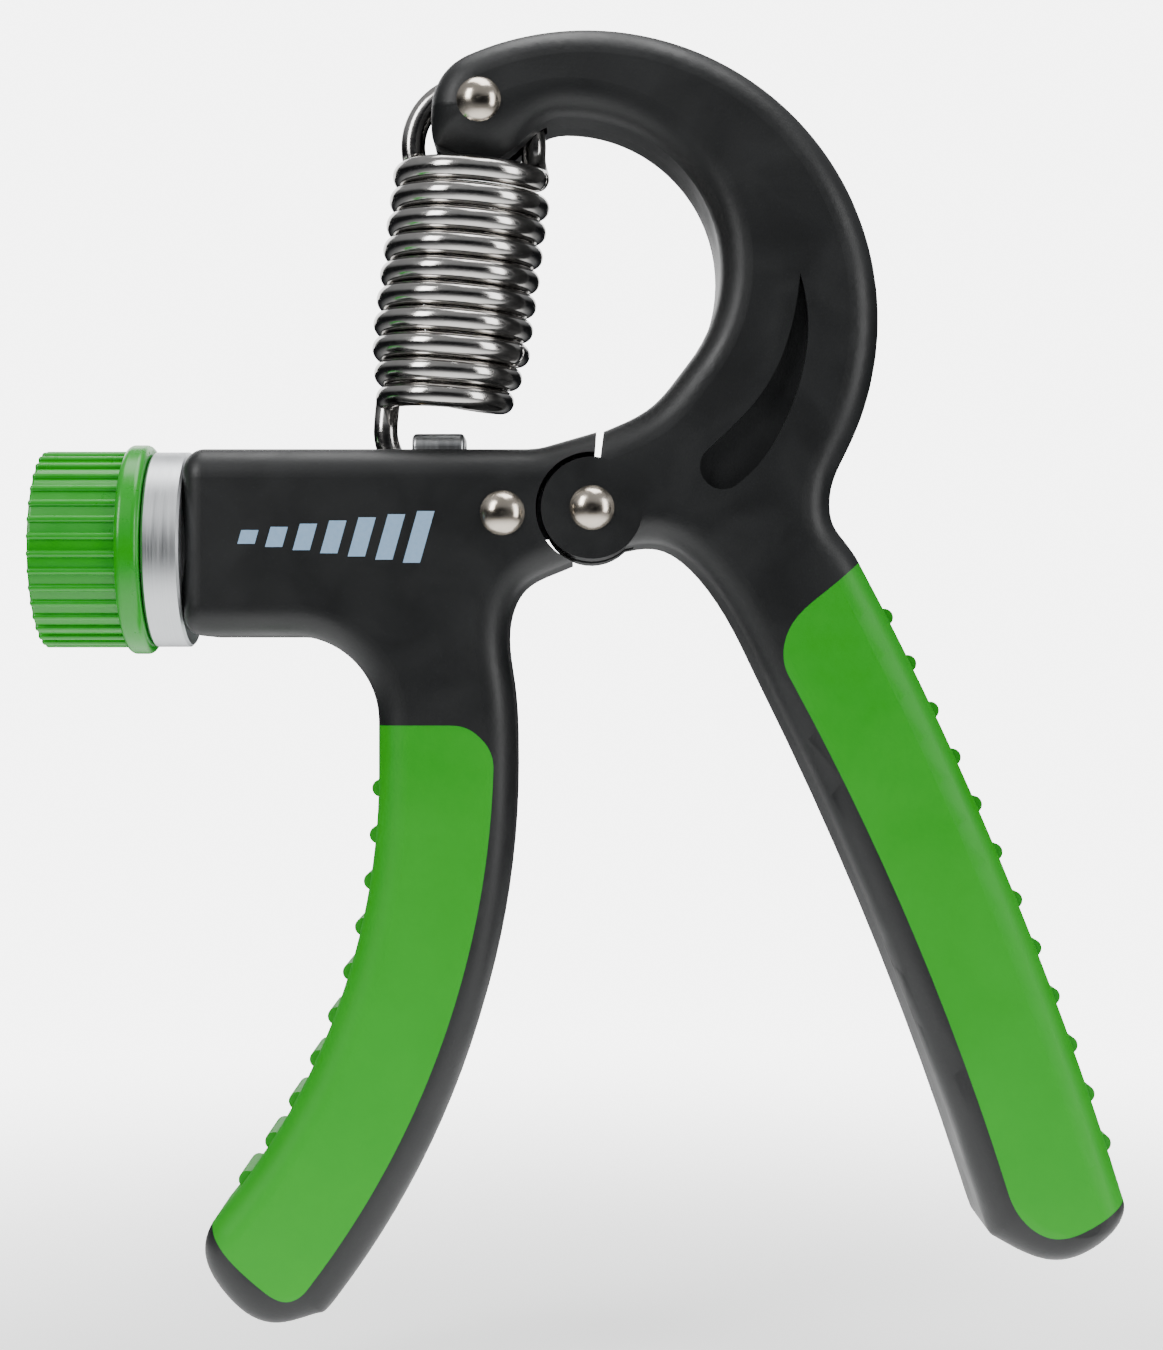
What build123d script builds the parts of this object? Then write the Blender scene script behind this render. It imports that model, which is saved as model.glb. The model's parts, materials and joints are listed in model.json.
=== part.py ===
"""Adjustable spring hand grip: two nylon mouldings hinged together, an extension
spring between them, and a knob that moves the spring's lower anchor along a screw."""
from build123d import *
import math
import os

os.makedirs("parts", exist_ok=True)

# ---------------------------------------------------------------- driving dimensions, mm
# The front of the grip faces -Y. The pivot is the place that everything is measured from.
PIVOT_X = 1.47
PIVOT_Z = 95.414
THICK = 20.0              # both mouldings, along Y
EDGE_R = 3.6              # rounding of the mouldings' long edges
CLEAR = 0.06              # radial clearance of a running fit

# lever arm over the top (right moulding), as seen from the front
ARM_OUT = (-0.7, 22.3)    # centre and radius of the outer curve
ARM_OUT_R = 34.3
ARM_IN = (-2.95, 28.3)    # centre and radius of the inner curve
ARM_IN_R = 18.1
ARM_TIP_THICK = 16.0      # thickness at the top of the arm
TAPER_Z = 12.0            # the arm starts to thin here, above the pivot
RECESS_D = 1.9            # drop-shaped recess, from the full thickness

EAR_R = 5.93              # clevis ears of the right moulding
SOCKET_R = 6.55           # round seat for them in the left moulding
TONGUE_T = 4.0            # steel link plate
WASHER_T = 0.5
TONGUE_RIVET = (-10.4, -0.6)
SPRING_PIN = (-13.2, 47.7)
RIVET_R = 1.75            # rivet shanks
RIVET_HEAD_R = 2.6
RIVET_HEAD_H = 1.35

# barrel of the left moulding, with the adjusting screw inside
BARREL_TOP = 7.1
BARREL_BOTTOM = -14.85
BARREL_END = -47.8
SCREW_Z = -4.4
SCREW_R = 3.0
CHANNEL_W = 13.0          # channel that the nut slides in
CHANNEL_H = 12.0
CHANNEL_X = (-43.5, -14.6)
SLOT_X = (-39.5, -13.6)
SLOT_W = 9.0
SPIGOT_R = 9.0
SPIGOT_END = -51.4
COLLAR_R = 11.65
COLLAR_X = (-52.2, -47.8)
KNOB_FACE = -52.35        # open face of the knob
KNOB_FLANGE = -55.2
KNOB_END = -65.4
KNOB_R = 11.3
KNOB_RIB_H = 0.45
KNOB_RIBS = 35
FLANGE_R = 12.5

# spring, along the line from its pin to the middle of its hook
WIRE_R = 1.45
COIL_R = 8.1              # to the middle of the wire
COIL_END_R = 6.65         # the last turns draw in
PITCH = 2.97
COIL_START = 7.16         # from the pin, down the line
FIRST_TURN = 0.06         # where the coils take over from the loop, in turns
COIL_TURNS = 7
END_TURNS = 2.38
LOOP = (-14.15, 43.9)     # centre of the top loop, and its radius to the middle of the wire
LOOP_R = 7.25
HOOK = (-18.2, 9.9)       # centre of the bottom hook, and its radius
HOOK_R = 6.5
BRIDGE_X = (-21.3, -15.1)
BRIDGE_TOP = 9.3
BRIDGE_BOTTOM = HOOK[1] - HOOK_R + WIRE_R + 0.05

# soft grips
GRIP_SKIN = 1.5           # thickness over the flat sides
GRIP_PALM = 2.2           # thickness over the palm side
RIB_R = 1.05
RIB_SUNK = 0.2
RIB_LEN = 11.0


def front(depth=0.0):
    """A plane that faces the front, with its origin on the pivot's axis."""
    return Plane(origin=(PIVOT_X, depth, PIVOT_Z), x_dir=(1, 0, 0), z_dir=(0, -1, 0))


def across(x, z=SCREW_Z):
    """A plane square to the screw, at x from the pivot, whose normal is +X."""
    return Plane(origin=(PIVOT_X + x, 0, PIVOT_Z + z), x_dir=(0, 1, 0), z_dir=(1, 0, 0))


def on_circle(centre, radius, degrees):
    angle = math.radians(degrees)
    return (centre[0] + radius * math.cos(angle), centre[1] + radius * math.sin(angle))


def along(degrees, sense=1):
    """Direction of travel round a circle at an angle: +1 anticlockwise, -1 clockwise."""
    angle = math.radians(degrees)
    return (-sense * math.sin(angle), sense * math.cos(angle))


# ---------------------------------------------------------------- left moulding, whole shape
LEFT_IN = (-111.5, -30.15)      # centre and radius of the handle's inner edge
LEFT_IN_R = 102.65
LEFT_OUT = (-105.7, -30.9)      # centre and radius of its palm side
LEFT_OUT_R = 80.7

with BuildSketch(front(THICK / 2)) as left_outline:
    with BuildLine():
        lip = Line((0.3, 5.6), (0.55, 9.1))
        ramp = Line(lip @ 1, (-5.2, 7.45))
        crest = Spline(ramp @ 1, (-8.0, BARREL_TOP), tangents=(ramp % 1, (-1, 0)))
        top = Line(crest @ 1, (BARREL_END, BARREL_TOP))
        end = Line(top @ 1, (BARREL_END, BARREL_BOTTOM))
        belly = Line(end @ 1, (-35.0, BARREL_BOTTOM))
        corner = TangentArc(belly @ 1, (-25.0, BARREL_BOTTOM - 10), tangent=(1, 0))
        palm_top = Line(corner @ 1, (-25.0, -30.9))
        palm = CenterArc(LEFT_OUT, LEFT_OUT_R, 0, -40.0)
        inner = CenterArc(LEFT_IN, LEFT_IN_R, -37.3, 37.3)
        tip = Spline(
            palm @ 1, (-45.35, -87.4), (-43.0, -91.9), (-36.6, -95.4), (-31.9, -94.2),
            inner @ 0, tangents=(along(-40.0, -1), along(-37.3)),
        )
        crotch = Spline(
            inner @ 1, (-9.3, -20.5), (-9.9, -14.2), (-8.0, -9.1), (-3.5, -6.7), (-0.6, -5.4),
            tangents=((0, 1), (0.9, 0.44)),
        )
        Line(crotch @ 1, lip @ 0)
    make_face()

with BuildPart() as left_blank:
    extrude(left_outline.sketch, amount=THICK, dir=(0, -1, 0))
    sides = left_blank.faces().filter_by(Axis.Y)
    long_edges = [e for f in sides for e in f.outer_wire().edges() if e.length > 30]
    fillet(long_edges, EDGE_R)
    end_face = left_blank.faces().filter_by(Axis.X).sort_by(Axis.X)[0]
    fillet(end_face.outer_wire().edges(), 2.4)

# ---------------------------------------------------------------- right moulding, whole shape
RIGHT_IN = (-368.1, -214.6)     # centre and radius of the handle's inner edge
RIGHT_IN_R = 434.4
RIGHT_OUT = (-338.9, -203.7)    # centre and radius of its palm side
RIGHT_OUT_R = 419.6
IN_TURN = -38.0                 # where the inner curve of the arm opens out
OUT_TURNS = (-26.0, 114.0)      # where the outer curve of the arm starts and ends

with BuildSketch(front(THICK / 2)) as right_outline:
    with BuildLine():
        face = Line((0.9, 5.2), (1.4, 9.15))
        inside = CenterArc(ARM_IN, ARM_IN_R, IN_TURN, 90 - IN_TURN)
        Spline(face @ 1, (6.85, 11.95), inside @ 0, tangents=((0.9, 0.38), along(IN_TURN)))
        over = CenterArc(ARM_OUT, ARM_OUT_R, OUT_TURNS[0], OUT_TURNS[1] - OUT_TURNS[0])
        tip = TangentArc(over @ 1, (-18.9, 47.4), tangent=over % 1)
        Spline(
            inside @ 1, (-5.9, 45.6), (-8.6, 43.2), (-13.2, 41.0), (-17.2, 42.6), tip @ 1,
            tangents=((-1, 0), -(tip % 1)),
        )
        palm = CenterArc(RIGHT_OUT, RIGHT_OUT_R, 17.0, 11.1)
        Spline(
            over @ 0, (28.1, 2.4), (28.2, -1.4), palm @ 1,
            tangents=(along(OUT_TURNS[0], -1), along(28.1, -1)),
        )
        inner = CenterArc(RIGHT_IN, RIGHT_IN_R, 18.05, 8.4)
        Spline(
            palm @ 0, (60.9, -84.7), (53.3, -88.0), (47.4, -85.4), inner @ 0,
            tangents=(along(17.0, -1), along(18.05)),
        )
        under = Spline(
            inner @ 1, (14.2, -9.0), (8.4, -4.2), (1.0, -5.1),
            tangents=(along(26.45), (-0.98, -0.2)),
        )
        Line(under @ 1, face @ 0)
    make_face()

# seen from the side, the arm thins towards its tip on a long curve
with BuildSketch(Plane(origin=(-60, 0, PIVOT_Z), x_dir=(0, 1, 0), z_dir=(1, 0, 0))) as side_view:
    with BuildLine():
        half = THICK / 2
        low = Polyline((-half, TAPER_Z), (-half, -110), (half, -110), (half, TAPER_Z))
        near = TangentArc((half, TAPER_Z), (ARM_TIP_THICK / 2, 58), tangent=(0, 1))
        far = TangentArc((-half, TAPER_Z), (-ARM_TIP_THICK / 2, 58), tangent=(0, 1))
        Line(near @ 1, far @ 1)
    make_face()

with BuildPart() as right_blank:
    extrude(right_outline.sketch, amount=THICK, dir=(0, -1, 0))
    extrude(side_view.sketch, amount=160, dir=(1, 0, 0), mode=Mode.INTERSECT)
    sides = right_blank.faces().filter_by(Axis.Y)
    long_edges = [e for f in sides for e in f.outer_wire().edges() if e.length > 50]
    fillet(long_edges, EDGE_R)

# ---------------------------------------------------------------- where the soft grips lie
with BuildSketch(front(THICK)) as left_grip_area:
    with BuildLine():
        skin = CenterArc((-114.7, -27.5), 103.3, -37.8, 36.2)
        bend = Spline(skin @ 1, (-13.0, -26.7), (-16.4, -25.3), tangents=((0.03, 1), (-1, 0)))
        outer = Polyline(bend @ 1, (-30, -25.3), (-60, -70), (-44.6, -82.6))
        Spline(
            outer @ 1, (-43.2, -86.0), (-38.6, -90.6), (-35.4, -92.2), skin @ 0,
            tangents=((0.05, -1), along(-37.8)),
        )
    make_face()

with BuildSketch(front(THICK)) as right_grip_area:
    with BuildLine():
        skin = CenterArc((-264.7, -176.9), 327.8, 17.3, 11.4)
        Spline(
            (33.0, -4.8), (27.4, -9.5), (22.9, -14.1), skin @ 1,
            tangents=((-0.78, -0.62), along(28.7, -1)),
        )
        foot = Spline(
            skin @ 0, (49.6, -82.2), (53.9, -84.9), (60.4, -82.1), (64.0, -79.5),
            tangents=(along(17.3, -1), (0.8, 0.6)),
        )
        Polyline(foot @ 1, (70, -70), (45, -4.8), (33.0, -4.8))
    make_face()

# each moulding goes on as a thinner core under its grip
CORE_T = THICK - 2 * GRIP_SKIN

with BuildSketch(front(CORE_T / 2)) as left_core_area:
    add(left_grip_area.sketch_local)
    with Locations(LEFT_OUT):
        Circle(LEFT_OUT_R + GRIP_PALM, mode=Mode.SUBTRACT)

with BuildSketch(front(CORE_T / 2)) as right_core_area:
    add(right_grip_area.sketch_local)
    with Locations(RIGHT_OUT):
        Circle(RIGHT_OUT_R - GRIP_PALM, mode=Mode.INTERSECT)


def rib_places(centre, radius, first, pitch, count):
    """Points round the palm side, a rib's pitch apart."""
    step = math.degrees(pitch / radius)
    return [on_circle(centre, radius, first - i * step) for i in range(count)]


with BuildPart() as left_grip:
    add(left_blank.part)
    extrude(left_grip_area.sketch, amount=2 * THICK, dir=(0, -1, 0), mode=Mode.INTERSECT)
    with BuildSketch(front(RIB_LEN / 2)) as left_ribs:
        with Locations(rib_places(LEFT_OUT, LEFT_OUT_R + RIB_SUNK, -1.3, 5.5, 10)):
            Circle(RIB_R)
    extrude(left_ribs.sketch, amount=RIB_LEN, dir=(0, -1, 0))
    extrude(left_core_area.sketch, amount=CORE_T, dir=(0, -1, 0), mode=Mode.SUBTRACT)
left_grip.part.label = "left_grip"

with BuildPart() as right_grip:
    add(right_blank.part)
    extrude(right_grip_area.sketch, amount=2 * THICK, dir=(0, -1, 0), mode=Mode.INTERSECT)
    with BuildSketch(front(RIB_LEN / 2)) as right_ribs:
        with Locations(rib_places(RIGHT_OUT, RIGHT_OUT_R - RIB_SUNK, 27.1, 6.1, 12)):
            Circle(RIB_R)
    extrude(right_ribs.sketch, amount=RIB_LEN, dir=(0, -1, 0))
    extrude(right_core_area.sketch, amount=CORE_T, dir=(0, -1, 0), mode=Mode.SUBTRACT)
right_grip.part.label = "right_grip"

# ---------------------------------------------------------------- left moulding
with BuildPart() as left_frame:
    add(left_blank.part)
    extrude(left_grip_area.sketch, amount=2 * THICK, dir=(0, -1, 0), mode=Mode.SUBTRACT)
    extrude(left_core_area.sketch, amount=CORE_T, dir=(0, -1, 0))
    # round spigot for the collar, and the screw's bearing through it
    with BuildSketch(across(SPIGOT_END)):
        Circle(SPIGOT_R)
    extrude(amount=BARREL_END - SPIGOT_END + 1)
    with BuildSketch(across(SPIGOT_END)):
        Circle(SCREW_R + CLEAR)
    extrude(amount=CHANNEL_X[0] - SPIGOT_END + 1, mode=Mode.SUBTRACT)
    # square channel for the nut, and the slot above it for the bracket and the hook
    with BuildSketch(across(CHANNEL_X[0])):
        RectangleRounded(CHANNEL_W, CHANNEL_H, 0.6)
    extrude(amount=CHANNEL_X[1] - CHANNEL_X[0], mode=Mode.SUBTRACT)
    with BuildSketch(across(SLOT_X[0], 0)):
        with Locations((0, BARREL_TOP / 2)):
            Rectangle(SLOT_W, BARREL_TOP + 2)
    extrude(amount=SLOT_X[1] - SLOT_X[0], mode=Mode.SUBTRACT)
    # shallow scoop that the last coil swings down into
    with BuildSketch(across(SLOT_X[1] - 0.5, 0)):
        with Locations((0, BARREL_TOP + 0.4)):
            Rectangle(2 * (THICK / 2 - EDGE_R - 1), 3.2)
    extrude(amount=8.5, mode=Mode.SUBTRACT)
    # seat of the clevis ears, pocket of the link plate, and its rivet's hole
    with BuildSketch(front(THICK / 2)):
        Circle(SOCKET_R)
    extrude(amount=THICK, mode=Mode.SUBTRACT)
    with BuildSketch(front(TONGUE_T / 2)):
        SlotCenterToCenter(2 * abs(TONGUE_RIVET[0]), 5.6, rotation=3.3)
    extrude(amount=TONGUE_T, mode=Mode.SUBTRACT)
    with BuildSketch(front(THICK / 2)):
        with Locations(TONGUE_RIVET):
            Circle(RIVET_R)
    extrude(amount=THICK, mode=Mode.SUBTRACT)
left_frame.part.label = "left_frame"

# ---------------------------------------------------------------- right moulding
with BuildPart() as right_frame:
    add(right_blank.part)
    extrude(right_grip_area.sketch, amount=2 * THICK, dir=(0, -1, 0), mode=Mode.SUBTRACT)
    extrude(right_core_area.sketch, amount=CORE_T, dir=(0, -1, 0))
    with BuildSketch(front(THICK / 2)):
        Circle(EAR_R)
    extrude(amount=THICK)
    # clevis gap for the link plate and its washers
    gap = TONGUE_T + 2 * WASHER_T + 0.2
    with BuildSketch(front(gap / 2)):
        Circle(EAR_R + 0.6)
    extrude(amount=gap, mode=Mode.SUBTRACT)
    # gap at the tip of the arm for the spring's loop
    with BuildSketch(front(WIRE_R + 0.35)):
        with Locations((LOOP[0] - 1.2, LOOP[1] - 1.5)):
            Rectangle(20, 21.5)
    extrude(amount=2 * WIRE_R + 0.7, mode=Mode.SUBTRACT)
    with BuildSketch(front(THICK / 2)):
        Circle(RIVET_R)
        with Locations(SPRING_PIN):
            Circle(RIVET_R + CLEAR)
    extrude(amount=THICK, mode=Mode.SUBTRACT)
    # drop-shaped recess on each side of the arm
    for depth in (THICK / 2 + 1, -THICK / 2 + RECESS_D):
        with BuildSketch(front(depth)):
            with BuildLine():
                blade = Spline(
                    (24.2, 27.2), (25.1, 20.0), (21.6, 8.3), (17.0, 2.8),
                    tangents=((0.3, -1), (-0.75, -0.6)),
                )
                round_end = ThreePointArc(blade @ 1, (12.7, 3.9), (13.7, 7.0))
                Spline(round_end @ 1, (20.3, 14.2), (24.2, 27.2), tangents=((0.75, 0.7), (0.1, 1)))
            make_face()
        extrude(amount=1 + RECESS_D, mode=Mode.SUBTRACT)
right_frame.part.label = "right_frame"

# ---------------------------------------------------------------- link plate, washers, rivets
with BuildPart() as pivot_tongue:
    with BuildSketch(front(TONGUE_T / 2)):
        SlotCenterToCenter(2 * abs(TONGUE_RIVET[0]), 5.6, rotation=3.3)
        with Locations((10, 0)):
            Rectangle(14, 12, mode=Mode.SUBTRACT)
        Circle(3.6)
        Circle(RIVET_R + CLEAR, mode=Mode.SUBTRACT)
        with Locations(TONGUE_RIVET):
            Circle(RIVET_R, mode=Mode.SUBTRACT)
    extrude(amount=TONGUE_T)
pivot_tongue.part.label = "pivot_tongue"

with BuildPart() as pivot_washers:
    for depth in (TONGUE_T / 2 + 0.05 + WASHER_T, -TONGUE_T / 2 - 0.05):
        with BuildSketch(front(depth)):
            Circle(4.4)
            Circle(RIVET_R, mode=Mode.SUBTRACT)
        extrude(amount=WASHER_T)
pivot_washers.part.label = "pivot_washers"


def rivet_halves(place, face_y):
    """A two-piece rivet: a domed shank from the front, and a domed socket from the back."""
    head = Plane(
        origin=(PIVOT_X + place[0], 0, PIVOT_Z + place[1]), x_dir=(1, 0, 0), z_dir=(0, 0, 1)
    )
    joint_y = face_y - 6
    with BuildPart() as shank:
        with BuildSketch(head):
            with BuildLine():
                dome = ThreePointArc(
                    (0, -face_y - RIVET_HEAD_H), (1.5, -face_y - RIVET_HEAD_H * 0.76),
                    (RIVET_HEAD_R, -face_y),
                )
                Polyline(
                    dome @ 1, (RIVET_R, -face_y), (RIVET_R, joint_y), (1.0, joint_y),
                    (1.0, face_y - 1), (0, face_y - 1), dome @ 0,
                )
            make_face()
        revolve(axis=Axis(head.origin, (0, 1, 0)))
    with BuildPart() as socket:
        with BuildSketch(head):
            with BuildLine():
                dome = ThreePointArc(
                    (0, face_y + RIVET_HEAD_H), (1.5, face_y + RIVET_HEAD_H * 0.76),
                    (RIVET_HEAD_R, face_y),
                )
                Polyline(
                    dome @ 1, (RIVET_R, face_y), (RIVET_R, joint_y), (1.0, joint_y),
                    (1.0, face_y - 1), (0, face_y - 1), dome @ 0,
                )
            make_face()
        revolve(axis=Axis(head.origin, (0, 1, 0)))
    return shank.part, socket.part


pin_face = ARM_TIP_THICK / 2 + 0.75     # just proud of the arm's side at its pin
RIVETS = {
    "pivot_rivet": ((0, 0), THICK / 2),
    "tongue_rivet": (TONGUE_RIVET, THICK / 2),
    "spring_rivet": (SPRING_PIN, pin_face),
}
rivets = []
for name, (place, face_y) in RIVETS.items():
    shank, socket = rivet_halves(place, face_y)
    shank.label = name
    socket.label = name + "_back"
    rivets += [shank, socket]

# ---------------------------------------------------------------- adjusting screw and nut
with BuildPart() as adjusting_screw:
    with BuildSketch(across(KNOB_END + 3.4)):
        RegularPolygon(4.0, 6, major_radius=False)
    extrude(amount=4.5)
    with BuildSketch(across(KNOB_END + 3.4)):
        Circle(SCREW_R)
    extrude(amount=CHANNEL_X[1] - 0.3 - KNOB_END - 3.4)
    chamfer(adjusting_screw.edges().group_by(Axis.X)[-1], 0.6)
    # groove of the retaining clip, just inside the channel
    with BuildSketch(across(CHANNEL_X[0] + 0.3)):
        Circle(SCREW_R + 1)
        Circle(SCREW_R - 0.7, mode=Mode.SUBTRACT)
    extrude(amount=0.8, mode=Mode.SUBTRACT)
adjusting_screw.part.label = "adjusting_screw"

with BuildPart() as retaining_clip:
    with BuildSketch(across(CHANNEL_X[0] + 0.35)):
        Circle(SCREW_R + 1.4)
        Circle(SCREW_R - 0.65, mode=Mode.SUBTRACT)
        with Locations((0, -SCREW_R)):
            Rectangle(3.6, 4, mode=Mode.SUBTRACT)
    extrude(amount=0.7)
retaining_clip.part.label = "retaining_clip"

NUT_W = CHANNEL_W - 0.5
NUT_H = CHANNEL_H - 0.4
NUT_X = (-24.0, -15.0)
LEG_Y = 2.1                     # inner face of each leg of the bracket
LEG_T = 1.8
LEG_IN = 2.5                    # how deep the legs go into the nut
nut_top = SCREW_Z + NUT_H / 2
leg_foot = nut_top - LEG_IN

with BuildPart() as carriage_nut:
    with BuildSketch(across(NUT_X[0])):
        RectangleRounded(NUT_W, NUT_H, 0.6)
        Circle(SCREW_R + CLEAR, mode=Mode.SUBTRACT)
    extrude(amount=NUT_X[1] - NUT_X[0])
    with BuildSketch(across(BRIDGE_X[0], leg_foot)):
        with Locations((LEG_Y + LEG_T / 2, LEG_IN / 2), (-LEG_Y - LEG_T / 2, LEG_IN / 2)):
            Rectangle(LEG_T, LEG_IN)
    extrude(amount=BRIDGE_X[1] - BRIDGE_X[0], mode=Mode.SUBTRACT)
carriage_nut.part.label = "carriage_nut"

with BuildPart() as hook_bracket:
    bracket_h = BRIDGE_TOP - leg_foot
    window_h = BRIDGE_BOTTOM - leg_foot
    with BuildSketch(across(BRIDGE_X[0], leg_foot)):
        with Locations((0, bracket_h / 2)):
            Rectangle(2 * (LEG_Y + LEG_T), bracket_h)
        with Locations((0, window_h / 2)):
            Rectangle(2 * LEG_Y, window_h, mode=Mode.SUBTRACT)
    extrude(amount=BRIDGE_X[1] - BRIDGE_X[0])
    fillet(hook_bracket.edges().filter_by(Axis.X).group_by(Axis.Z)[-1], 1.6)
    top_face = hook_bracket.faces().filter_by(Axis.Z).sort_by(Axis.Z)[-1]
    fillet(top_face.edges().filter_by(Axis.Y), 0.5)
    # the hook bears on a rounded underside
    under_edges = hook_bracket.edges().filter_by(Axis.Y).filter_by_position(
        Axis.Z, PIVOT_Z + BRIDGE_BOTTOM - 0.1, PIVOT_Z + BRIDGE_BOTTOM + 0.1
    )
    fillet(under_edges, 3.0)
hook_bracket.part.label = "hook_bracket"

with BuildPart() as thrust_washer:
    with BuildSketch(across(SPIGOT_END - 1.0)):
        Circle(7.5)
        Circle(SCREW_R + 0.15, mode=Mode.SUBTRACT)
    extrude(amount=1.0)
thrust_washer.part.label = "thrust_washer"

with BuildPart() as end_collar:
    with BuildSketch(across(COLLAR_X[0])):
        Circle(COLLAR_R)
        Circle(SPIGOT_R, mode=Mode.SUBTRACT)
    extrude(amount=COLLAR_X[1] - COLLAR_X[0])
    chamfer(end_collar.edges().filter_by(GeomType.CIRCLE).sort_by(SortBy.LENGTH)[-2:], 0.3)
end_collar.part.label = "end_collar"

# ---------------------------------------------------------------- knob
with BuildPart() as knob:
    with BuildSketch(across(KNOB_END)):
        Circle(KNOB_R)
        with PolarLocations(KNOB_R, KNOB_RIBS):
            Circle(KNOB_RIB_H)
    extrude(amount=KNOB_FLANGE - KNOB_END)
    fillet(knob.faces().sort_by(Axis.X)[0].outer_wire().edges(), 0.4)
    with BuildSketch(across(KNOB_FLANGE)):
        Circle(FLANGE_R)
    extrude(amount=KNOB_FACE - KNOB_FLANGE)
    rim = knob.edges().filter_by(GeomType.CIRCLE).sort_by(SortBy.RADIUS)[-2:]
    fillet(rim, 0.8)
    # hollow behind the face, hub round the screw's head
    with BuildSketch(across(KNOB_FACE)):
        Circle(SPIGOT_R + 0.6)
    extrude(amount=-(KNOB_FACE - SPIGOT_END + 1.1), mode=Mode.SUBTRACT)
    with BuildSketch(across(KNOB_END + 3.4)):
        RegularPolygon(4.0, 6, major_radius=False)
    extrude(amount=12, mode=Mode.SUBTRACT)
knob.part.label = "knob"

# ---------------------------------------------------------------- spring, one wire in three lengths
pin_point = Vector(PIVOT_X + SPRING_PIN[0], 0, PIVOT_Z + SPRING_PIN[1])
line = Vector(HOOK[0] - SPRING_PIN[0], 0, HOOK[1] - SPRING_PIN[1]).normalized()


def coil(first, turns, radius, cone=0.0):
    """A length of the coil: it starts this many turns after the spring's right-hand side."""
    helix = Helix(
        pitch=PITCH, height=PITCH * turns, radius=radius, direction=line, cone_angle=cone,
        center=pin_point + line * (COIL_START + PITCH * first), mode=Mode.PRIVATE,
    )
    return helix.rotate(Axis(pin_point, line), 180 + 360 * first)


def wire_section(path, at=0):
    return Plane(origin=path @ at, z_dir=path % at)


with BuildPart() as spring_coils:
    coils = coil(FIRST_TURN, COIL_TURNS, COIL_R)
    with BuildSketch(wire_section(coils)):
        Circle(WIRE_R)
    sweep(path=coils, is_frenet=True)
spring_coils.part.label = "spring_coils"

with BuildLine(front()) as top_ring:
    CenterArc(LOOP, LOOP_R, 192, -197)
ring = top_ring.wires()[0]

with BuildPart() as spring_top_loop:
    with BuildLine() as loop_path:
        add(ring)
        Spline(ring @ 1, coils @ 0, tangents=(ring % 1, coils % 0))
    with BuildSketch(wire_section(ring)):
        Circle(WIRE_R)
    sweep(path=loop_path.wires()[0])
spring_top_loop.part.label = "spring_top_loop"

draw_in = math.degrees(math.atan((COIL_R - COIL_END_R) / (PITCH * END_TURNS)))
end_coil = coil(FIRST_TURN + COIL_TURNS + 0.005, END_TURNS, COIL_R, -draw_in)
with BuildLine(front()) as hook_bend:
    CenterArc(HOOK, HOOK_R, 180, 120)
hook = hook_bend.wires()[0]

with BuildPart() as spring_bottom_hook:
    with BuildLine() as hook_path:
        add(end_coil)
        Spline(end_coil @ 1, hook @ 0, tangents=(end_coil % 1, hook % 0))
        add(hook)
    with BuildSketch(wire_section(end_coil)):
        Circle(WIRE_R)
    sweep(path=hook_path.wires()[0])
spring_bottom_hook.part.label = "spring_bottom_hook"

# ---------------------------------------------------------------- write every piece
pieces = [left_frame, right_frame, left_grip, right_grip, pivot_tongue, pivot_washers]
pieces += [adjusting_screw, retaining_clip, carriage_nut, hook_bracket, thrust_washer]
pieces += [end_collar, knob, spring_top_loop, spring_coils, spring_bottom_hook]
parts = [piece.part for piece in pieces] + rivets
for part in parts:
    export_step(part, f"parts/{part.label}.step")
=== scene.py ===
import json
import math

import bpy
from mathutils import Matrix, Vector

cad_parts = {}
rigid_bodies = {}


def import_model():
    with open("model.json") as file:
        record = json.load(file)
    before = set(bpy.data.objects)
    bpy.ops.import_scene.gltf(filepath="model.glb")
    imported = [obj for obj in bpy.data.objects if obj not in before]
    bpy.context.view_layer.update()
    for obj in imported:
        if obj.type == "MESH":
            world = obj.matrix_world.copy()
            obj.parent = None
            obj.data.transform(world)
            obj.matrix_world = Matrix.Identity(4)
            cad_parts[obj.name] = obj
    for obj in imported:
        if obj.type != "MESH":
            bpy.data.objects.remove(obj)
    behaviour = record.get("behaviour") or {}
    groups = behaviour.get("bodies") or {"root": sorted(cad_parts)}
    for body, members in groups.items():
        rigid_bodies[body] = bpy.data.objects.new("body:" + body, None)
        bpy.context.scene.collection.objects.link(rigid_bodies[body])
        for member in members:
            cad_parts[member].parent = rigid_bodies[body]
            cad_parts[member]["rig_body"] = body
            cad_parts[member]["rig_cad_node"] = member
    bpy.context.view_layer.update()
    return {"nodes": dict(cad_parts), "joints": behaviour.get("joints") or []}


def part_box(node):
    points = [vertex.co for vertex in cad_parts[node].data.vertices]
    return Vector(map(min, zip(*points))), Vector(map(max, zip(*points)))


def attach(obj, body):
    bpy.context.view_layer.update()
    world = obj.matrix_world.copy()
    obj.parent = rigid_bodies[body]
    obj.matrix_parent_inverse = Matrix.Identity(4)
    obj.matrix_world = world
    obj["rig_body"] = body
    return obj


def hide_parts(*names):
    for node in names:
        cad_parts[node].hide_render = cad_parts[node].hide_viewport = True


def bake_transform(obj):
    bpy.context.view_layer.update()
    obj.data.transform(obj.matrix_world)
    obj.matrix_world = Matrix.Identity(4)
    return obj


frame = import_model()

nodes = frame["nodes"]
joints = {joint["name"]: joint for joint in frame["joints"]}
MM = 0.001

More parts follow.
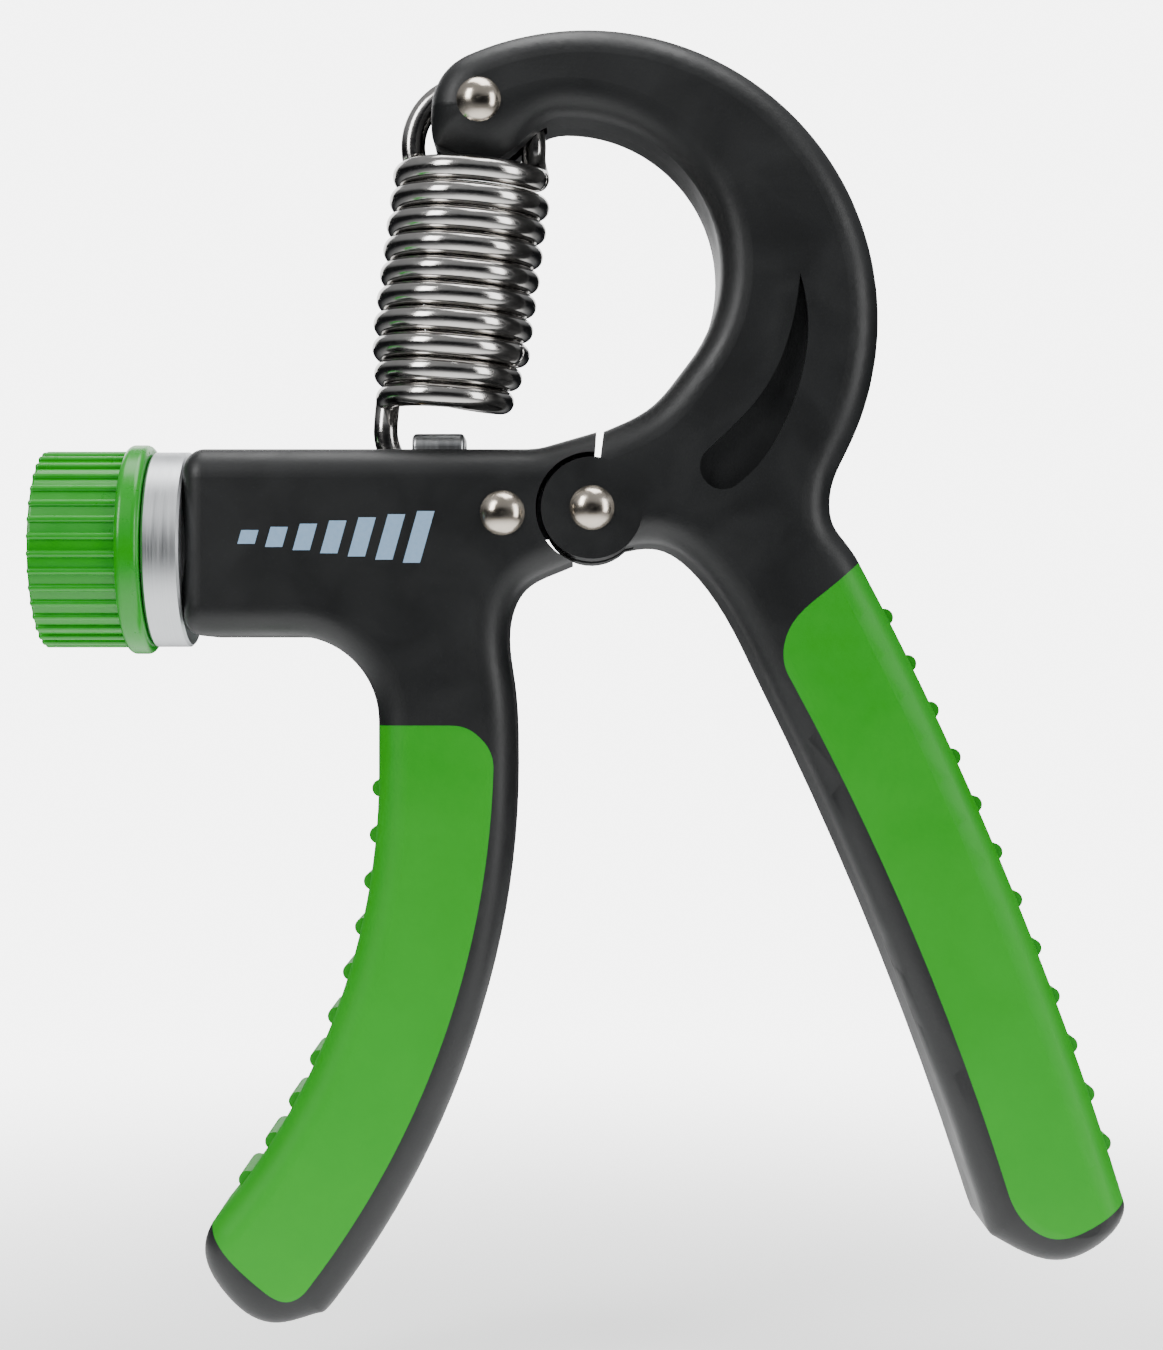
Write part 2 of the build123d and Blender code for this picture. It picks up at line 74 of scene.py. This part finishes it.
# ---------------------------------------------------------------- studio
# A plain white sweep under soft boxes. The grip stands upright, seen square on
# from the front, a hand's length away from the lens.
pivot = Vector(joints["squeeze"]["pos_m"])
VIEW_DISTANCE = 300 * MM
VIEW_HEIGHT = 162 * MM
SENSOR = 24
bpy.ops.object.camera_add(
    location=(pivot.x - 1.21 * MM, -VIEW_DISTANCE, pivot.z - 19.42 * MM), rotation=(math.pi / 2, 0, 0)
)
camera = bpy.context.object
camera.data.sensor_fit = "VERTICAL"
camera.data.sensor_height = SENSOR
camera.data.lens = SENSOR * VIEW_DISTANCE / VIEW_HEIGHT
camera.data.clip_start = 10 * MM
bpy.context.scene.camera = camera


def linear(hex_colour):
    """An sRGB hex colour as the linear values that Blender's sockets take."""
    values = [int(hex_colour[i:i + 2], 16) / 255 for i in (1, 3, 5)]
    return [v / 12.92 if v <= 0.04045 else ((v + 0.055) / 1.055) ** 2.4 for v in values] + [1]


def add_node(tree, kind, inputs=None, **settings):
    """A node with its settings; an input is a value, or another node's output to link."""
    node = tree.nodes.new(kind)
    for name, value in settings.items():
        setattr(node, name, value)
    for socket, value in (inputs or {}).items():
        if isinstance(value, bpy.types.NodeSocket):
            tree.links.new(value, node.inputs[socket])
        else:
            node.inputs[socket].default_value = value
    return node


def new_material(name, constants):
    """A material with one Principled shader, and its constants set on the shader's own sockets."""
    material = bpy.data.materials.new(name)
    material.use_nodes = True
    shader = material.node_tree.nodes["Principled BSDF"]
    for socket, value in constants.items():
        shader.inputs[socket].default_value = value
    return material, material.node_tree, shader


def soft_box(name, place, target, size, power):
    """A rectangular area light that faces its target."""
    bpy.ops.object.light_add(type="AREA", location=place)
    light = bpy.context.object
    light.name = name
    light.data.shape = "RECTANGLE"
    light.data.size, light.data.size_y = size
    light.data.energy = power
    light.rotation_euler = (Vector(target) - Vector(place)).to_track_quat("-Z", "Y").to_euler()


middle = (0, 0, 0.075)
soft_box("key box", (-0.42, -0.42, 0.42), middle, (0.22, 0.40), 2.6)
soft_box("fill box", (0.50, -0.30, 0.20), middle, (0.20, 0.50), 1.7)
soft_box("top box", (0.02, 0.02, 0.62), middle, (0.50, 0.30), 2.6)
soft_box("back box", (-0.10, 0.55, 0.30), middle, (0.60, 0.30), 1.6)

# The sweep: lit paper under the grip, fading into the white beyond it.
PAPER_FADES = (0.04, 0.30)
PAPER_DROP = 10.5 * MM    # room for the lower end of the right handle as it swings in
bpy.ops.object.select_all(action="DESELECT")
bpy.ops.mesh.primitive_circle_add(vertices=96, radius=0.5, fill_type="NGON", location=(0, 0, -PAPER_DROP))
floor = bpy.context.object
floor.name = "white_sweep"
bpy.ops.object.transform_apply(location=True, rotation=True, scale=True)
paper, tree, shader = new_material("white sweep paper", {"Roughness": 0.9})
coordinates = add_node(tree, "ShaderNodeTexCoord")
fibre = add_node(tree, "ShaderNodeTexNoise", {"Vector": coordinates.outputs["Object"], "Scale": 900})
tone = add_node(
    tree, "ShaderNodeMixRGB", {0: fibre.outputs["Fac"], 1: linear("#F4F4F4"), 2: linear("#FAFAFA")}
)
tree.links.new(tone.outputs[0], shader.inputs["Base Color"])
shader.inputs["Emission Color"].default_value = linear("#FFFFFF")
shader.inputs["Emission Strength"].default_value = 0.9
reach = add_node(tree, "ShaderNodeVectorMath", {0: coordinates.outputs["Object"]}, operation="LENGTH")
fade = add_node(
    tree, "ShaderNodeMapRange",
    {0: reach.outputs["Value"], 1: PAPER_FADES[0], 2: PAPER_FADES[1]}, interpolation_type="SMOOTHSTEP",
)
clear = add_node(tree, "ShaderNodeBsdfTransparent")
faded = add_node(tree, "ShaderNodeMixShader", {0: fade.outputs[0], 1: shader.outputs[0], 2: clear.outputs[0]})
tree.links.new(faded.outputs[0], tree.nodes["Material Output"].inputs["Surface"])
floor.data.materials.append(paper)

# Round the grip the studio is dark at eye level and pale above and below, which gives the
# plated parts their bands. What shows behind the grip is plain white.
world = bpy.data.worlds.new("studio")
bpy.context.scene.world = world
world.use_nodes = True
tree = world.node_tree
tree.nodes.clear()
direction = add_node(tree, "ShaderNodeTexCoord")
split = add_node(tree, "ShaderNodeSeparateXYZ", {0: direction.outputs["Generated"]})
level = add_node(tree, "ShaderNodeMapRange", {0: split.outputs["Z"], 1: -1.0, 2: 1.0})
bands = add_node(tree, "ShaderNodeValToRGB", {0: level.outputs[0]})
ramp = bands.color_ramp
ramp.elements[0].position, ramp.elements[0].color = 0.0, linear("#B8BABD")
ramp.elements[1].position, ramp.elements[1].color = 1.0, linear("#F2F3F4")
for position, colour in ((0.30, "#C8CACC"), (0.42, "#303236"), (0.60, "#242528"), (0.72, "#D5D7DA")):
    step = ramp.elements.new(position)
    step.color = linear(colour)
studio_light = add_node(tree, "ShaderNodeBackground", {"Color": bands.outputs[0], "Strength": 0.42})
plain = add_node(tree, "ShaderNodeBackground", {"Color": linear("#FFFFFF"), "Strength": 6.0})
seen = add_node(tree, "ShaderNodeLightPath")
mix = add_node(
    tree, "ShaderNodeMixShader",
    {0: seen.outputs["Is Camera Ray"], 1: studio_light.outputs[0], 2: plain.outputs[0]},
)
add_node(tree, "ShaderNodeOutputWorld", {"Surface": mix.outputs[0]})


def finish_node(name, material):
    """Gives a fixed CAD piece its finish."""
    nodes[name].data.materials.clear()
    nodes[name].data.materials.append(material)


# ---------------------------------------------------------------- mouldings
# The two halves of the grip are injection moulded in black glass-filled nylon. The tool is
# spark eroded, so the skin is an even, fine grain with a low sheen, and a hairline of flash
# runs round the edge where the two halves of the tool meet.
GRAIN = 0.40 * MM         # coarser than the real 0.1 mm, so that it shows
FLOW = 9 * MM
nylon, tree, shader = new_material("black glass-filled nylon, spark-eroded", {"IOR": 1.53})
coordinates = add_node(tree, "ShaderNodeTexCoord")
place = coordinates.outputs["Object"]
grain = add_node(tree, "ShaderNodeTexNoise", {"Vector": place, "Scale": 1 / GRAIN, "Detail": 3, "Roughness": 0.6})
flow = add_node(tree, "ShaderNodeTexNoise", {"Vector": place, "Scale": 1 / FLOW, "Detail": 4, "Distortion": 0.6})
specks = add_node(tree, "ShaderNodeTexVoronoi", {"Vector": place, "Scale": 1 / (0.9 * MM)})
flow_tone = add_node(
    tree, "ShaderNodeMixRGB", {0: flow.outputs["Fac"], 1: linear("#0E0F10"), 2: linear("#191B1C")}
)
speck_mask = add_node(tree, "ShaderNodeMapRange", {0: specks.outputs["Distance"], 1: 0.0, 2: 0.22, 3: 0.25, 4: 0.0})
colour = add_node(
    tree, "ShaderNodeMixRGB", {0: speck_mask.outputs[0], 1: flow_tone.outputs[0], 2: linear("#2A2C2E")}
)
tree.links.new(colour.outputs[0], shader.inputs["Base Color"])
sheen = add_node(tree, "ShaderNodeMapRange", {0: flow.outputs["Fac"], 1: 0.3, 2: 0.7, 3: 0.40, 4: 0.52})
tree.links.new(sheen.outputs[0], shader.inputs["Roughness"])
across = add_node(tree, "ShaderNodeSeparateXYZ", {0: place})
off_middle = add_node(tree, "ShaderNodeMath", {0: across.outputs["Y"]}, operation="ABSOLUTE")
flash = add_node(tree, "ShaderNodeMapRange", {0: off_middle.outputs[0], 1: 0.0, 2: 0.12 * MM, 3: 1.6, 4: 0.0})
height = add_node(tree, "ShaderNodeMath", {0: grain.outputs["Fac"], 1: flash.outputs[0]}, operation="ADD")
bump = add_node(tree, "ShaderNodeBump", {"Height": height.outputs[0], "Strength": 0.35, "Distance": 0.05 * MM})
tree.links.new(bump.outputs[0], shader.inputs["Normal"])
finish_node("left_frame", nylon)
finish_node("right_frame", nylon)

# ---------------------------------------------------------------- printed mark
# A row of seven slanted bars is pad printed on each side of the barrel, small to large, as the
# sign for light to heavy. The pale blue ink lies as a very thin film on the nylon.
BARS = 7
BAR_PITCH = 3.3 * MM
BAR_WIDTH = 2.0 * MM
BAR_HEIGHTS = (1.6 * MM, 6.0 * MM)
BAR_LEAN = 0.28
INK_FILM = 0.03 * MM
INK_SUNK = 0.03 * MM
ink, tree, shader = new_material("pale blue pad-printing ink", {"IOR": 1.5})
coordinates = add_node(tree, "ShaderNodeTexCoord")
pinholes = add_node(
    tree, "ShaderNodeTexNoise", {"Vector": coordinates.outputs["Object"], "Scale": 1 / (0.5 * MM), "Detail": 3}
)
colour = add_node(tree, "ShaderNodeMixRGB", {0: pinholes.outputs["Fac"], 1: linear("#8FB4D8"), 2: linear("#A9C8E4")})
tree.links.new(colour.outputs[0], shader.inputs["Base Color"])
sheen = add_node(tree, "ShaderNodeMapRange", {0: pinholes.outputs["Fac"], 1: 0.3, 2: 0.7, 3: 0.40, 4: 0.55})
tree.links.new(sheen.outputs[0], shader.inputs["Roughness"])
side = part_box("left_frame")[1].y
mark_centre = Vector((pivot.x - 30.0 * MM, 0, pivot.z - 3.4 * MM))
for face, label in ((-1, "front"), (1, "back")):
    bpy.ops.object.select_all(action="DESELECT")
    for i in range(BARS):
        bar_height = BAR_HEIGHTS[0] + (BAR_HEIGHTS[1] - BAR_HEIGHTS[0]) * i / (BARS - 1)
        offset = (i - (BARS - 1) / 2) * BAR_PITCH * -face
        bpy.ops.mesh.primitive_cube_add(
            size=1, location=(mark_centre.x + offset, face * (side + (INK_FILM - INK_SUNK) / 2), mark_centre.z)
        )
        bar = bpy.context.object
        bar.scale = (BAR_WIDTH, INK_FILM + INK_SUNK, bar_height)
        bpy.ops.object.transform_apply(location=True, rotation=True, scale=True)
        for corner in bar.data.vertices:
            corner.co.x += (corner.co.z - mark_centre.z) * BAR_LEAN * -face
        bar.name = f"printed_bar_{label}_{i}"
        bar.data.materials.append(ink)
        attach(bar, "left_body")

# ---------------------------------------------------------------- soft grips
# Each handle has a skin of green thermoplastic elastomer moulded over it, with a row of ribs
# down the outer side. It is matt and dense, with a very fine dry texture and faint rub marks.
elastomer, tree, shader = new_material(
    "green thermoplastic elastomer, over-moulded",
    {"IOR": 1.49, "Subsurface Weight": 0.08, "Subsurface Scale": 0.8 * MM},
)
coordinates = add_node(tree, "ShaderNodeTexCoord")
place = coordinates.outputs["Object"]
dry = add_node(tree, "ShaderNodeTexNoise", {"Vector": place, "Scale": 1 / (0.35 * MM), "Detail": 2})
rubbed = add_node(tree, "ShaderNodeTexNoise", {"Vector": place, "Scale": 1 / (14 * MM), "Detail": 5, "Roughness": 0.65})
colour = add_node(
    tree, "ShaderNodeMixRGB", {0: rubbed.outputs["Fac"], 1: linear("#129903"), 2: linear("#20A90E")}
)
tree.links.new(colour.outputs[0], shader.inputs["Base Color"])
sheen = add_node(tree, "ShaderNodeMapRange", {0: rubbed.outputs["Fac"], 1: 0.3, 2: 0.7, 3: 0.46, 4: 0.60})
tree.links.new(sheen.outputs[0], shader.inputs["Roughness"])
bump = add_node(tree, "ShaderNodeBump", {"Height": dry.outputs["Fac"], "Strength": 0.25, "Distance": 0.03 * MM})
tree.links.new(bump.outputs[0], shader.inputs["Normal"])
finish_node("left_grip", elastomer)
finish_node("right_grip", elastomer)

# ---------------------------------------------------------------- tension knob
# The knob is moulded in green ABS, with fine ridges along its rim for the fingers. It comes
# out of a polished tool, so it is glossier than the grips, and scuffed a little by use.
abs_green, tree, shader = new_material(
    "green ABS, semi-gloss", {"IOR": 1.54, "Coat Weight": 0.15, "Coat Roughness": 0.2}
)
coordinates = add_node(tree, "ShaderNodeTexCoord")
place = coordinates.outputs["Object"]
scuff = add_node(tree, "ShaderNodeTexNoise", {"Vector": place, "Scale": 1 / (5 * MM), "Detail": 6, "Roughness": 0.7})
orange_peel = add_node(tree, "ShaderNodeTexNoise", {"Vector": place, "Scale": 1 / (0.9 * MM), "Detail": 1})
colour = add_node(tree, "ShaderNodeMixRGB", {0: scuff.outputs["Fac"], 1: linear("#0A9C10"), 2: linear("#16AA18")})
tree.links.new(colour.outputs[0], shader.inputs["Base Color"])
sheen = add_node(tree, "ShaderNodeMapRange", {0: scuff.outputs["Fac"], 1: 0.35, 2: 0.7, 3: 0.26, 4: 0.38})
tree.links.new(sheen.outputs[0], shader.inputs["Roughness"])
bump = add_node(
    tree, "ShaderNodeBump", {"Height": orange_peel.outputs["Fac"], "Strength": 0.12, "Distance": 0.03 * MM}
)
tree.links.new(bump.outputs[0], shader.inputs["Normal"])
finish_node("knob", abs_green)

# ---------------------------------------------------------------- collar
# A turned aluminium ring caps the barrel behind the knob. It is satin anodised over the
# lathe's fine feed lines, which run round the ring.
aluminium, tree, shader = new_material("satin aluminium, turned and anodised", {"Metallic": 1.0})
coordinates = add_node(tree, "ShaderNodeTexCoord")
stretch = add_node(
    tree, "ShaderNodeMapping", {"Vector": coordinates.outputs["Object"], "Scale": (1, 0.02, 0.02)}
)
feed = add_node(tree, "ShaderNodeTexNoise", {"Vector": stretch.outputs[0], "Scale": 1 / (0.16 * MM), "Detail": 2})
colour = add_node(tree, "ShaderNodeMixRGB", {0: feed.outputs["Fac"], 1: linear("#C9CCCF"), 2: linear("#E2E4E6")})
tree.links.new(colour.outputs[0], shader.inputs["Base Color"])
sheen = add_node(tree, "ShaderNodeMapRange", {0: feed.outputs["Fac"], 1: 0.3, 2: 0.7, 3: 0.34, 4: 0.46})
tree.links.new(sheen.outputs[0], shader.inputs["Roughness"])
bump = add_node(tree, "ShaderNodeBump", {"Height": feed.outputs["Fac"], "Strength": 0.2, "Distance": 0.02 * MM})
tree.links.new(bump.outputs[0], shader.inputs["Normal"])
finish_node("end_collar", aluminium)

# ---------------------------------------------------------------- rivets
# Round-headed steel rivets hold the link plate, the pivot and the spring's loop. They are
# nickel plated, bright and a little warm, with the faint dimples of the rivet set.
nickel, tree, shader = new_material("nickel plate on formed steel", {"Metallic": 1.0})
coordinates = add_node(tree, "ShaderNodeTexCoord")
place = coordinates.outputs["Object"]
dimples = add_node(tree, "ShaderNodeTexNoise", {"Vector": place, "Scale": 1 / (0.7 * MM), "Detail": 2})
haze = add_node(tree, "ShaderNodeTexNoise", {"Vector": place, "Scale": 1 / (2.2 * MM), "Detail": 4})
colour = add_node(tree, "ShaderNodeMixRGB", {0: haze.outputs["Fac"], 1: linear("#C8BCAC"), 2: linear("#E3DACD")})
tree.links.new(colour.outputs[0], shader.inputs["Base Color"])
sheen = add_node(tree, "ShaderNodeMapRange", {0: haze.outputs["Fac"], 1: 0.3, 2: 0.7, 3: 0.16, 4: 0.28})
tree.links.new(sheen.outputs[0], shader.inputs["Roughness"])
bump = add_node(tree, "ShaderNodeBump", {"Height": dimples.outputs["Fac"], "Strength": 0.15, "Distance": 0.03 * MM})
tree.links.new(bump.outputs[0], shader.inputs["Normal"])
for name in ("pivot_rivet", "tongue_rivet", "spring_rivet"):
    finish_node(name, nickel)
    finish_node(name + "_back", nickel)

# ---------------------------------------------------------------- spring
# One length of nickel-plated spring wire, 2.9 mm thick: a loop round the pin in the arm, close
# coils, and a hook under the bracket. The coils part as the handles close or the knob is turned.
wire, tree, shader = new_material("nickel plate on drawn spring wire", {"Metallic": 1.0})
coordinates = add_node(tree, "ShaderNodeTexCoord")
place = coordinates.outputs["Object"]
stretch = add_node(tree, "ShaderNodeMapping", {"Vector": place, "Scale": (0.25, 0.25, 1.0)})
drawn = add_node(tree, "ShaderNodeTexNoise", {"Vector": stretch.outputs[0], "Scale": 1 / (0.22 * MM), "Detail": 3})
haze = add_node(tree, "ShaderNodeTexNoise", {"Vector": place, "Scale": 1 / (3 * MM), "Detail": 3})
colour = add_node(tree, "ShaderNodeMixRGB", {0: haze.outputs["Fac"], 1: linear("#B5B3B1"), 2: linear("#DAD7D3")})
tree.links.new(colour.outputs[0], shader.inputs["Base Color"])
sheen = add_node(tree, "ShaderNodeMapRange", {0: drawn.outputs["Fac"], 1: 0.3, 2: 0.7, 3: 0.12, 4: 0.22})
tree.links.new(sheen.outputs[0], shader.inputs["Roughness"])
bump = add_node(tree, "ShaderNodeBump", {"Height": drawn.outputs["Fac"], "Strength": 0.08, "Distance": 0.02 * MM})
tree.links.new(bump.outputs[0], shader.inputs["Normal"])


def wire_piece(name, *stretches):
    """One welded mesh of the wire, from the stretches of it that the frame gives."""
    bpy.ops.object.select_all(action="DESELECT")
    for stretch_name in stretches:
        nodes[stretch_name].select_set(True)
    bpy.context.view_layer.objects.active = nodes[stretches[0]]
    bpy.ops.object.duplicate()
    if len(stretches) > 1:
        bpy.ops.object.join()
    piece = bpy.context.object
    piece.name = name
    bpy.ops.object.parent_clear(type="CLEAR_KEEP_TRANSFORM")
    bpy.ops.object.mode_set(mode="EDIT")
    bpy.ops.mesh.select_all(action="SELECT")
    bpy.ops.mesh.remove_doubles(threshold=0.002 * MM)
    bpy.ops.mesh.normals_make_consistent(inside=False)
    bpy.ops.object.mode_set(mode="OBJECT")
    bpy.ops.object.shade_smooth_by_angle(angle=math.radians(40))
    piece.data.materials.clear()
    piece.data.materials.append(wire)
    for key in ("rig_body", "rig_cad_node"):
        if key in piece:
            del piece[key]
    return piece


PITCH = 2.97 * MM
COIL_START = 7.16 * MM    # from the pin, down the spring's line
pull = Vector(joints["spring_stretch"]["axis"])
pin = Vector(joints["spring_pin_turn"]["pos_m"])
front_way = Vector((0, -1, 0))
right_way = front_way.cross(pull)


def down_the_line(turns):
    return pin + pull * (COIL_START + PITCH * turns)


def part_coils(piece):
    """Works out each vertex's turn and place down the spring's line, bakes the piece's transform, then sets every
    vertex back where it was, so the wire keeps its shape.
    """
    finished = [vertex.co.copy() for vertex in piece.data.vertices]
    for vertex in piece.data.vertices:
        away = vertex.co - pin
        turns = math.atan2(away.dot(front_way), away.dot(right_way)) / math.tau
        turns += round((away.dot(pull) - COIL_START) / PITCH - turns)
        vertex.co = down_the_line(turns)
    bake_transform(piece)
    for vertex, place in zip(piece.data.vertices, finished):
        vertex.co = place


upper_spring = wire_piece("spring_loop_and_coils", "spring_top_loop", "spring_coils")
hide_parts("spring_top_loop", "spring_coils")
part_coils(upper_spring)
lower_spring = wire_piece("spring_end_coils_and_hook", "spring_bottom_hook")
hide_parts("spring_bottom_hook")
part_coils(lower_spring)

# ---------------------------------------------------------------- bracket and link plate
# The hook bears under a small bent steel bridge that stands on the travelling nut, and a
# blanked steel link joins the two mouldings. Both are tumbled, so their faces are satin.
tumbled, tree, shader = new_material("steel sheet, blanked and tumbled", {"Metallic": 1.0})
coordinates = add_node(tree, "ShaderNodeTexCoord")
stretch = add_node(tree, "ShaderNodeMapping", {"Vector": coordinates.outputs["Object"], "Scale": (1, 1, 0.08)})
rolled = add_node(tree, "ShaderNodeTexNoise", {"Vector": stretch.outputs[0], "Scale": 1 / (0.3 * MM), "Detail": 4})
colour = add_node(tree, "ShaderNodeMixRGB", {0: rolled.outputs["Fac"], 1: linear("#A9ABAD"), 2: linear("#CDCFD0")})
tree.links.new(colour.outputs[0], shader.inputs["Base Color"])
sheen = add_node(tree, "ShaderNodeMapRange", {0: rolled.outputs["Fac"], 1: 0.3, 2: 0.7, 3: 0.28, 4: 0.42})
tree.links.new(sheen.outputs[0], shader.inputs["Roughness"])
bump = add_node(tree, "ShaderNodeBump", {"Height": rolled.outputs["Fac"], "Strength": 0.15, "Distance": 0.02 * MM})
tree.links.new(bump.outputs[0], shader.inputs["Normal"])
finish_node("hook_bracket", tumbled)
finish_node("pivot_tongue", tumbled)

# ---------------------------------------------------------------- travelling nut
# A block of sawn brass bar with the lead screw through it, down inside the barrel.
brass, tree, shader = new_material("brass bar, sawn and drilled", {"Metallic": 1.0})
coordinates = add_node(tree, "ShaderNodeTexCoord")
stretch = add_node(tree, "ShaderNodeMapping", {"Vector": coordinates.outputs["Object"], "Scale": (0.05, 1, 1)})
sawn = add_node(tree, "ShaderNodeTexNoise", {"Vector": stretch.outputs[0], "Scale": 1 / (0.35 * MM), "Detail": 3})
colour = add_node(tree, "ShaderNodeMixRGB", {0: sawn.outputs["Fac"], 1: linear("#B08A45"), 2: linear("#D2AF69")})
tree.links.new(colour.outputs[0], shader.inputs["Base Color"])
sheen = add_node(tree, "ShaderNodeMapRange", {0: sawn.outputs["Fac"], 1: 0.3, 2: 0.7, 3: 0.28, 4: 0.45})
tree.links.new(sheen.outputs[0], shader.inputs["Roughness"])
bump = add_node(tree, "ShaderNodeBump", {"Height": sawn.outputs["Fac"], "Strength": 0.2, "Distance": 0.03 * MM})
tree.links.new(bump.outputs[0], shader.inputs["Normal"])
finish_node("carriage_nut", brass)

# ---------------------------------------------------------------- lead screw
# The screw is cut with a 2 mm thread and bright zinc plated. It turns with the knob and draws
# the nut along the barrel.
zinc, tree, shader = new_material("bright zinc plate on cut steel", {"Metallic": 1.0})
coordinates = add_node(tree, "ShaderNodeTexCoord")
patches = add_node(
    tree, "ShaderNodeTexNoise", {"Vector": coordinates.outputs["Object"], "Scale": 1 / (1.5 * MM), "Detail": 4}
)
colour = add_node(tree, "ShaderNodeMixRGB", {0: patches.outputs["Fac"], 1: linear("#B4B8BD"), 2: linear("#D3D5D6")})
tree.links.new(colour.outputs[0], shader.inputs["Base Color"])
sheen = add_node(tree, "ShaderNodeMapRange", {0: patches.outputs["Fac"], 1: 0.3, 2: 0.7, 3: 0.22, 4: 0.36})
tree.links.new(sheen.outputs[0], shader.inputs["Roughness"])
finish_node("adjusting_screw", zinc)

# ---------------------------------------------------------------- clip and washers
# A spring-steel clip, oil blacked, keeps the screw in the barrel, and natural acetal washers
# take the rubbing at the knob and the pivot.
blacked, tree, shader = new_material("spring steel, oil blacked", {"Metallic": 1.0})
coordinates = add_node(tree, "ShaderNodeTexCoord")
bloom = add_node(
    tree, "ShaderNodeTexNoise", {"Vector": coordinates.outputs["Object"], "Scale": 1 / (0.8 * MM), "Detail": 4}
)
colour = add_node(tree, "ShaderNodeMixRGB", {0: bloom.outputs["Fac"], 1: linear("#1B1B1D"), 2: linear("#3A3A3D")})
tree.links.new(colour.outputs[0], shader.inputs["Base Color"])
sheen = add_node(tree, "ShaderNodeMapRange", {0: bloom.outputs["Fac"], 1: 0.3, 2: 0.7, 3: 0.30, 4: 0.45})
tree.links.new(sheen.outputs[0], shader.inputs["Roughness"])
finish_node("retaining_clip", blacked)

acetal, tree, shader = new_material("natural acetal, stamped", {"IOR": 1.48})
coordinates = add_node(tree, "ShaderNodeTexCoord")
waxy = add_node(
    tree, "ShaderNodeTexNoise", {"Vector": coordinates.outputs["Object"], "Scale": 1 / (1.2 * MM), "Detail": 3}
)
colour = add_node(tree, "ShaderNodeMixRGB", {0: waxy.outputs["Fac"], 1: linear("#DAD9D2"), 2: linear("#EAE9E4")})
tree.links.new(colour.outputs[0], shader.inputs["Base Color"])
sheen = add_node(tree, "ShaderNodeMapRange", {0: waxy.outputs["Fac"], 1: 0.3, 2: 0.7, 3: 0.38, 4: 0.5})
tree.links.new(sheen.outputs[0], shader.inputs["Roughness"])
finish_node("pivot_washers", acetal)
finish_node("thrust_washer", acetal)
